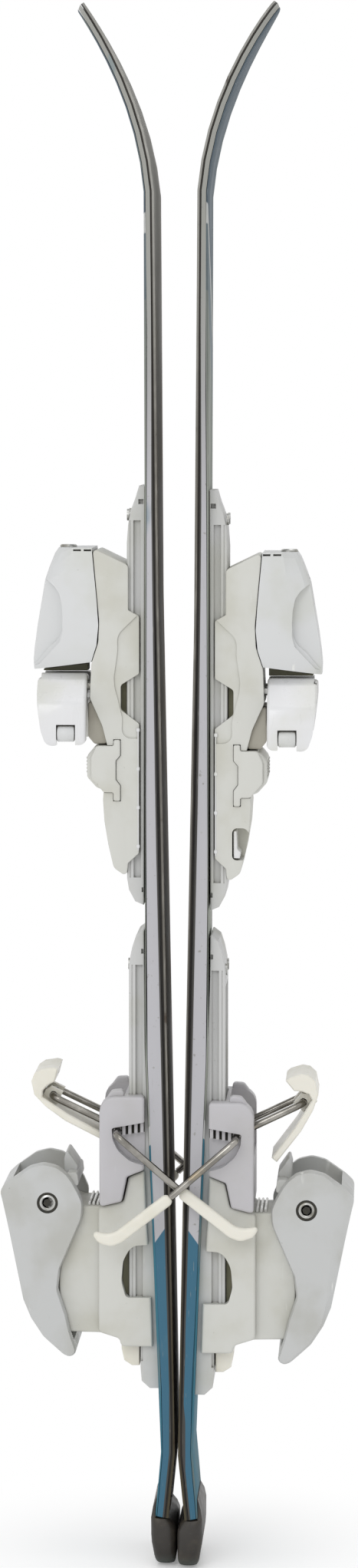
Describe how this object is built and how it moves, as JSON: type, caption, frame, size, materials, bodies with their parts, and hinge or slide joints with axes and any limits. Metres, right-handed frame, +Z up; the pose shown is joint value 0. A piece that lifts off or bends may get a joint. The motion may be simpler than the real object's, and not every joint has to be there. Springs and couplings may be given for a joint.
{
  "type": "pair of children's alpine skis with bindings",
  "caption": "Short children's skis with step-in bindings, standing base to base on their tails, held by their hooked ski brakes.",
  "frame": {"origin": "middle of the pair, on the floor under the tails", "axes": "+Z up along the skis to the tips, X across the pair with the right ski at +X, -Y the near side"},
  "size_m": [0.2066, 0.1022, 0.91],
  "materials": {
    "base_plastic": "sintered ski base, satin",
    "edge_steel": "dull ground steel edge with light rust",
    "sidewall": "wood core behind a moulded pale sidewall",
    "topsheet": "printed laminate under clear gloss, scuffed",
    "black_rubber": "dark tail protector, dull",
    "grey_plastic": "moulded grey plastic, fine grain",
    "pale_plastic": "moulded pale grey plastic",
    "white_plastic": "moulded off-white plastic, satin gloss",
    "cream_plastic": "moulded cream-grey plastic",
    "milky_plastic": "milky natural nylon",
    "plated_steel": "zinc-plated steel wire and screws",
    "spring_steel": "oiled spring steel"
  },
  "bodies": {
    "left_ski": {"left_base": "base_plastic", "left_steel_edge": "edge_steel", "left_core": "sidewall", "left_topsheet": "topsheet", "left_tail_protector": "black_rubber", "left_front_rail": "pale_plastic", "left_rear_rail": "pale_plastic"},
    "left_toe_unit": {"left_toe_chassis": "cream_plastic", "left_toe_housing": "white_plastic", "left_wing_pin_bridge": "plated_steel", "left_toe_spring": "spring_steel"},
    "left_toe_wing_near": {"left_toe_wing_near": "white_plastic"},
    "left_toe_wing_far": {"left_toe_wing_far": "white_plastic"},
    "left_wing_roller_near": {"left_wing_roller_near": "pale_plastic"},
    "left_wing_roller_far": {"left_wing_roller_far": "pale_plastic"},
    "left_afd": {"left_afd_slider": "cream_plastic"},
    "left_toe_nut": {"left_toe_spring_nut": "pale_plastic"},
    "left_toe_screw": {"left_toe_adjusting_screw": "plated_steel"},
    "left_toe_lock": {"left_toe_lock_lever": "white_plastic"},
    "left_toe_plunger": {"left_toe_plunger": "pale_plastic"},
    "left_heel_unit": {"left_heel_carriage": "cream_plastic", "left_brake_housing": "grey_plastic", "left_heel_pivot_bolt": "plated_steel"},
    "left_heel_piece": {"left_heel_piece": "grey_plastic", "left_heel_spring": "spring_steel"},
    "left_brake": {"left_brake_wire": "plated_steel", "left_brake_tip_near": "milky_plastic", "left_brake_tip_far": "milky_plastic"},
    "left_brake_pedal": {"left_brake_pedal": "milky_plastic"},
    "left_heel_lock": {"left_heel_lock_lever": "milky_plastic"},
    "right_ski": {"right_base": "base_plastic", "right_steel_edge": "edge_steel", "right_core": "sidewall", "right_topsheet": "topsheet", "right_tail_protector": "black_rubber", "right_front_rail": "pale_plastic", "right_rear_rail": "pale_plastic"},
    "right_toe_unit": {"right_toe_chassis": "cream_plastic", "right_toe_housing": "white_plastic", "right_wing_pin_bridge": "plated_steel", "right_toe_spring": "spring_steel"},
    "right_toe_wing_near": {"right_toe_wing_near": "white_plastic"},
    "right_toe_wing_far": {"right_toe_wing_far": "white_plastic"},
    "right_wing_roller_near": {"right_wing_roller_near": "pale_plastic"},
    "right_wing_roller_far": {"right_wing_roller_far": "pale_plastic"},
    "right_afd": {"right_afd_slider": "cream_plastic"},
    "right_toe_nut": {"right_toe_spring_nut": "pale_plastic"},
    "right_toe_screw": {"right_toe_adjusting_screw": "plated_steel"},
    "right_toe_lock": {"right_toe_lock_lever": "white_plastic"},
    "right_toe_plunger": {"right_toe_plunger": "pale_plastic"},
    "right_heel_unit": {"right_heel_carriage": "cream_plastic", "right_brake_housing": "grey_plastic", "right_heel_pivot_bolt": "plated_steel"},
    "right_heel_piece": {"right_heel_piece": "grey_plastic", "right_heel_spring": "spring_steel"},
    "right_brake": {"right_brake_wire": "plated_steel", "right_brake_tip_near": "milky_plastic", "right_brake_tip_far": "milky_plastic"},
    "right_brake_pedal": {"right_brake_pedal": "milky_plastic"},
    "right_heel_lock": {"right_heel_lock_lever": "milky_plastic"}
  },
  "joints": [
    {"name": "pair_apart", "type": "slide", "parent": "left_ski", "child": "right_ski", "axis": [1, 0, 0], "range_m": [0, 0.16]},
    {"name": "left_toe_adjust", "type": "slide", "parent": "left_ski", "child": "left_toe_unit", "axis": [0, 0, 1], "range_m": [-0.01, 0.02]},
    {"name": "left_heel_adjust", "type": "slide", "parent": "left_ski", "child": "left_heel_unit", "axis": [0, 0, 1], "range_m": [-0.003, 0.032]},
    {"name": "left_wing_near", "type": "hinge", "parent": "left_toe_unit", "child": "left_toe_wing_near", "pos_m": [-0.067, -0.0162, 0.516], "axis": [-1, 0, 0], "range_deg": [0, 30], "stiffness_Nm_per_rad": 2, "springref_deg": -17.19},
    {"name": "left_roller_near", "type": "hinge", "parent": "left_toe_wing_near", "child": "left_wing_roller_near", "pos_m": [-0.064, -0.0326, 0.4894], "axis": [-1, 0, 0], "continuous": true},
    {"name": "left_wing_far", "type": "hinge", "parent": "left_toe_unit", "child": "left_toe_wing_far", "pos_m": [-0.067, 0.0218, 0.516], "axis": [1, 0, 0], "range_deg": [0, 30], "stiffness_Nm_per_rad": 2, "springref_deg": -17.19},
    {"name": "left_roller_far", "type": "hinge", "parent": "left_toe_wing_far", "child": "left_wing_roller_far", "pos_m": [-0.064, 0.0382, 0.4894], "axis": [-1, 0, 0], "continuous": true},
    {"name": "left_afd_shift", "type": "slide", "parent": "left_toe_unit", "child": "left_afd", "axis": [0, -1, 0], "range_m": [-0.006, 0.006], "stiffness_N_per_m": 300},
    {"name": "left_plunger", "type": "slide", "parent": "left_toe_unit", "child": "left_toe_plunger", "axis": [0, 0, 1], "range_m": [0, 0.003], "stiffness_N_per_m": 1500, "springref_m": -0.004, "deforming": ["left_toe_spring"]},
    {"name": "left_toe_screw_turn", "type": "hinge", "parent": "left_toe_unit", "child": "left_toe_screw", "pos_m": [-0.0645, 0.0028, 0.592], "axis": [0, 0, 1], "range_deg": [-2340, 0]},
    {"name": "left_nut_travel", "type": "slide", "parent": "left_toe_unit", "child": "left_toe_nut", "axis": [0, 0, 1], "range_m": [-0.0081, 0], "deforming": ["left_toe_spring"]},
    {"name": "left_toe_lock_tilt", "type": "hinge", "parent": "left_toe_unit", "child": "left_toe_lock", "pos_m": [-0.0342, 0.0028, 0.4215], "axis": [0, -1, 0], "range_deg": [0, 10], "stiffness_Nm_per_rad": 0.05, "springref_deg": -11.46},
    {"name": "left_heel_step_in", "type": "hinge", "parent": "left_heel_unit", "child": "left_heel_piece", "pos_m": [-0.0756, 0.0028, 0.2148], "axis": [0, 1, 0], "range_deg": [0, 28]},
    {"name": "left_brake_swing", "type": "hinge", "parent": "left_heel_unit", "child": "left_brake", "pos_m": [-0.0346, 0.0028, 0.257], "axis": [0, 1, 0], "range_deg": [0, 48], "stiffness_Nm_per_rad": 0.3, "springref_deg": -28.65},
    {"name": "left_pedal_swing", "type": "hinge", "parent": "left_brake", "child": "left_brake_pedal", "pos_m": [-0.07323, 0.0028, 0.27543], "axis": [0, 1, 0], "range_deg": [0, 25]},
    {"name": "left_heel_lock_lift", "type": "hinge", "parent": "left_heel_unit", "child": "left_heel_lock", "pos_m": [-0.031, 0.0028, 0.1345], "axis": [0, 1, 0], "range_deg": [0, 15], "stiffness_Nm_per_rad": 0.1, "springref_deg": -11.46},
    {"name": "right_toe_adjust", "type": "slide", "parent": "right_ski", "child": "right_toe_unit", "axis": [0, 0, 1], "range_m": [-0.01, 0.02]},
    {"name": "right_heel_adjust", "type": "slide", "parent": "right_ski", "child": "right_heel_unit", "axis": [0, 0, 1], "range_m": [-0.003, 0.032]},
    {"name": "right_wing_far", "type": "hinge", "parent": "right_toe_unit", "child": "right_toe_wing_far", "pos_m": [0.067, 0.0162, 0.5135], "axis": [1, 0, 0], "range_deg": [0, 30], "stiffness_Nm_per_rad": 2, "springref_deg": -17.19},
    {"name": "right_roller_far", "type": "hinge", "parent": "right_toe_wing_far", "child": "right_wing_roller_far", "pos_m": [0.064, 0.0326, 0.4869], "axis": [1, 0, 0], "continuous": true},
    {"name": "right_wing_near", "type": "hinge", "parent": "right_toe_unit", "child": "right_toe_wing_near", "pos_m": [0.067, -0.0218, 0.5135], "axis": [-1, 0, 0], "range_deg": [0, 30], "stiffness_Nm_per_rad": 2, "springref_deg": -17.19},
    {"name": "right_roller_near", "type": "hinge", "parent": "right_toe_wing_near", "child": "right_wing_roller_near", "pos_m": [0.064, -0.0382, 0.4869], "axis": [1, 0, 0], "continuous": true},
    {"name": "right_afd_shift", "type": "slide", "parent": "right_toe_unit", "child": "right_afd", "axis": [0, 1, 0], "range_m": [-0.006, 0.006], "stiffness_N_per_m": 300},
    {"name": "right_plunger", "type": "slide", "parent": "right_toe_unit", "child": "right_toe_plunger", "axis": [0, 0, 1], "range_m": [0, 0.003], "stiffness_N_per_m": 1500, "springref_m": -0.004, "deforming": ["right_toe_spring"]},
    {"name": "right_toe_screw_turn", "type": "hinge", "parent": "right_toe_unit", "child": "right_toe_screw", "pos_m": [0.0645, -0.0028, 0.5895], "axis": [0, 0, 1], "range_deg": [-2340, 0]},
    {"name": "right_nut_travel", "type": "slide", "parent": "right_toe_unit", "child": "right_toe_nut", "axis": [0, 0, 1], "range_m": [-0.0081, 0], "deforming": ["right_toe_spring"]},
    {"name": "right_toe_lock_tilt", "type": "hinge", "parent": "right_toe_unit", "child": "right_toe_lock", "pos_m": [0.0342, -0.0028, 0.419], "axis": [0, 1, 0], "range_deg": [0, 10], "stiffness_Nm_per_rad": 0.05, "springref_deg": -11.46},
    {"name": "right_heel_step_in", "type": "hinge", "parent": "right_heel_unit", "child": "right_heel_piece", "pos_m": [0.0756, -0.0028, 0.2123], "axis": [0, -1, 0], "range_deg": [0, 28]},
    {"name": "right_brake_swing", "type": "hinge", "parent": "right_heel_unit", "child": "right_brake", "pos_m": [0.0346, -0.0028, 0.2545], "axis": [0, -1, 0], "range_deg": [0, 48], "stiffness_Nm_per_rad": 0.3, "springref_deg": -28.65},
    {"name": "right_pedal_swing", "type": "hinge", "parent": "right_brake", "child": "right_brake_pedal", "pos_m": [0.07323, -0.0028, 0.27293], "axis": [0, -1, 0], "range_deg": [-25, 0]},
    {"name": "right_heel_lock_lift", "type": "hinge", "parent": "right_heel_unit", "child": "right_heel_lock", "pos_m": [0.031, -0.0028, 0.132], "axis": [0, -1, 0], "range_deg": [0, 15], "stiffness_Nm_per_rad": 0.1, "springref_deg": -11.46}
  ],
  "couplings": [
    {"joint": "left_toe_screw_turn", "follows": "left_nut_travel", "rad_per_m": 5026.5},
    {"joint": "right_toe_screw_turn", "follows": "right_nut_travel", "rad_per_m": 5026.5}
  ]
}
